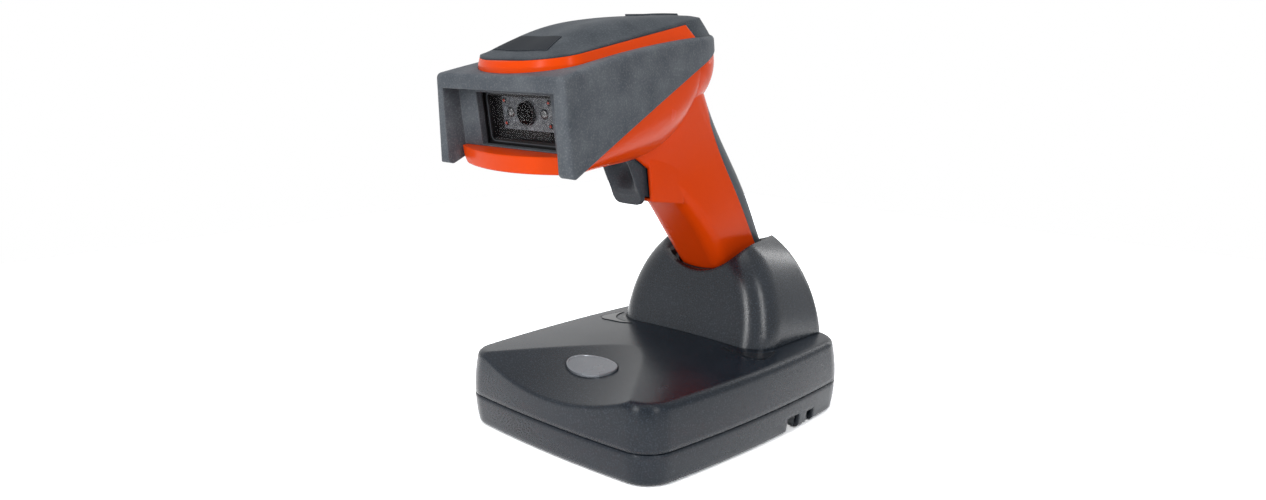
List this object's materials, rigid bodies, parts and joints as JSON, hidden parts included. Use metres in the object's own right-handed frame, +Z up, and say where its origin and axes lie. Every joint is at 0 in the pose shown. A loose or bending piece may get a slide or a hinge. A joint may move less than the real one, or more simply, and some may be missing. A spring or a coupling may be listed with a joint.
{
  "type": "handheld barcode scanner with charging base",
  "caption": "Pistol-grip cordless barcode scanner with a hooded scan window and sprung trigger, resting in a domed desktop charging base with a spring-contact well.",
  "frame": {"origin": "on the desk under the middle of the whole object, base and scanner together", "axes": "+Z up; -Y is the way the scan window looks; +X is the side of the base that has the cable bay"},
  "size_m": [0.1298, 0.1731, 0.1942],
  "materials": {
    "base_shell": "fine-grained satin moulding",
    "boot_rubber": "soft overmould, matt",
    "orange_shell": "satin moulding",
    "trigger_grey": "fine-grained satin moulding",
    "grip_grey": "fine-grained satin moulding",
    "dark_plastic": "black moulding",
    "badge_plate": "smooth blank plate",
    "status_lens": "translucent moulding",
    "window_pane": "coated flat pane",
    "lens_pane": "coated lens",
    "aimer_red": "red emitter",
    "soft_rubber": "matt",
    "screw_steel": "zinc plated",
    "ballast_steel": "raw plate",
    "barrel_metal": "black anodised",
    "contact_metal": "gold plated",
    "shield_can": "tinned",
    "circuit_board": "solder-masked laminate",
    "battery_wrap": "shrink wrap"
  },
  "bodies": {
    "base": {"base_tray": "base_shell", "base_cover": "base_shell", "holster_dome": "base_shell", "holster_well": "dark_plastic", "base_badge": "badge_plate", "status_lens_right": "status_lens", "status_lens_left": "status_lens", "contact_ribbon": "circuit_board", "rubber_feet": "soft_rubber", "tray_screws": "screw_steel", "dome_screws": "screw_steel", "ballast_plate": "ballast_steel", "base_board": "circuit_board", "board_screws": "screw_steel", "base_radio_module": "shield_can", "base_leds": "status_lens", "data_jack": "dark_plastic", "power_jack": "dark_plastic", "contact_block": "dark_plastic", "contact_springs": "contact_metal"},
    "probes": {"contact_pins": "contact_metal"},
    "scanner": {"lower_housing": "orange_shell", "grip_back_cover": "grip_grey", "rubber_boot": "boot_rubber", "upper_housing": "orange_shell", "crown_pad": "boot_rubber", "crown_badge": "badge_plate", "scan_status_lens": "status_lens", "window_gasket": "soft_rubber", "window_glass": "window_pane", "window_frame": "dark_plastic", "imager_plate": "shield_can", "imager_body": "dark_plastic", "lens_barrel": "barrel_metal", "lens_glass": "lens_pane", "illumination_leds": "status_lens", "aimer_leds": "aimer_red", "imager_board": "circuit_board", "chassis": "dark_plastic", "main_board": "circuit_board", "board_studs": "screw_steel", "radio_module": "shield_can", "beeper": "dark_plastic", "status_led": "status_lens", "housing_screws": "screw_steel", "trigger_pin": "screw_steel", "trigger_spring": "contact_metal", "trigger_switch": "dark_plastic", "battery_pack": "battery_wrap", "battery_carrier": "circuit_board", "battery_contacts": "contact_metal", "end_cap": "grip_grey", "cap_gasket": "soft_rubber", "charge_pads": "contact_metal"},
    "trigger": {"trigger": "trigger_grey"},
    "plunger": {"switch_plunger": "dark_plastic"}
  },
  "joints": [
    {"name": "scanner_lift", "type": "slide", "parent": "base", "child": "scanner", "axis": [0, -0.5299, 0.848], "range_m": [0, 0.13]},
    {"name": "contact_press", "type": "slide", "parent": "base", "child": "probes", "axis": [0, -0.5299, 0.848], "range_m": [-0.0008, 0], "stiffness_N_per_m": 400, "springref_m": 0.0008, "deforming": ["contact_springs"]},
    {"name": "trigger_pull", "type": "hinge", "parent": "scanner", "child": "trigger", "pos_m": [0, -0.00036, 0.12986], "axis": [1, 0, 0], "range_deg": [0, 5], "stiffness_Nm_per_rad": 0.3, "springref_deg": -6.88, "deforming": ["trigger_spring"]},
    {"name": "plunger_slide", "type": "slide", "parent": "scanner", "child": "plunger", "axis": [0, 0.9921, 0.1253], "range_m": [0, 0.0015]}
  ],
  "couplings": [
    {"joint": "plunger_slide", "follows": "trigger_pull", "m_per_rad": 0.0155}
  ]
}
